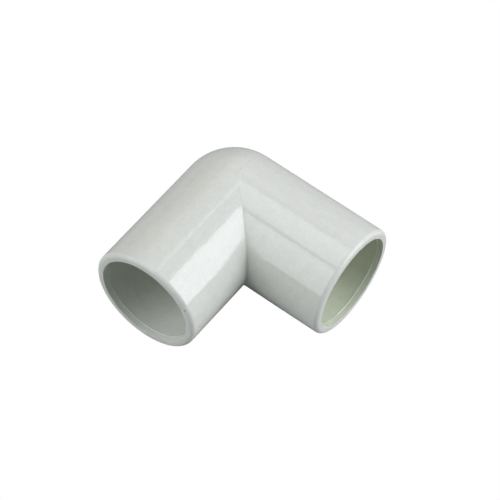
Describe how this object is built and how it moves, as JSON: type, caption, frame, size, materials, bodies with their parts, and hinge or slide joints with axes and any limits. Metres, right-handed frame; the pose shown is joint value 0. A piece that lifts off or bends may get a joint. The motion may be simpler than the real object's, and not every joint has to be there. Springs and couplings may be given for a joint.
{
  "type": "pipe elbow",
  "caption": "One-piece plastic elbow that turns a pipe run through a right angle, with a plain solvent-weld socket at each end.",
  "frame": {"origin": "centre of socket A's end face, on the socket's axis", "axes": "+X out of socket A, -Y out of socket B, +Z normal to the plane of the two socket axes; the elbow lies flat with Z as its thickness, and the two axes cross at (-0.039, 0, 0)"},
  "size_m": [0.055, 0.055, 0.032],
  "materials": {
    "pvc": "pale grey moulded PVC, glossy outside, slightly uneven"
  },
  "bodies": {
    "root": {"elbow_body": "pvc"}
  },
  "joints": []
}
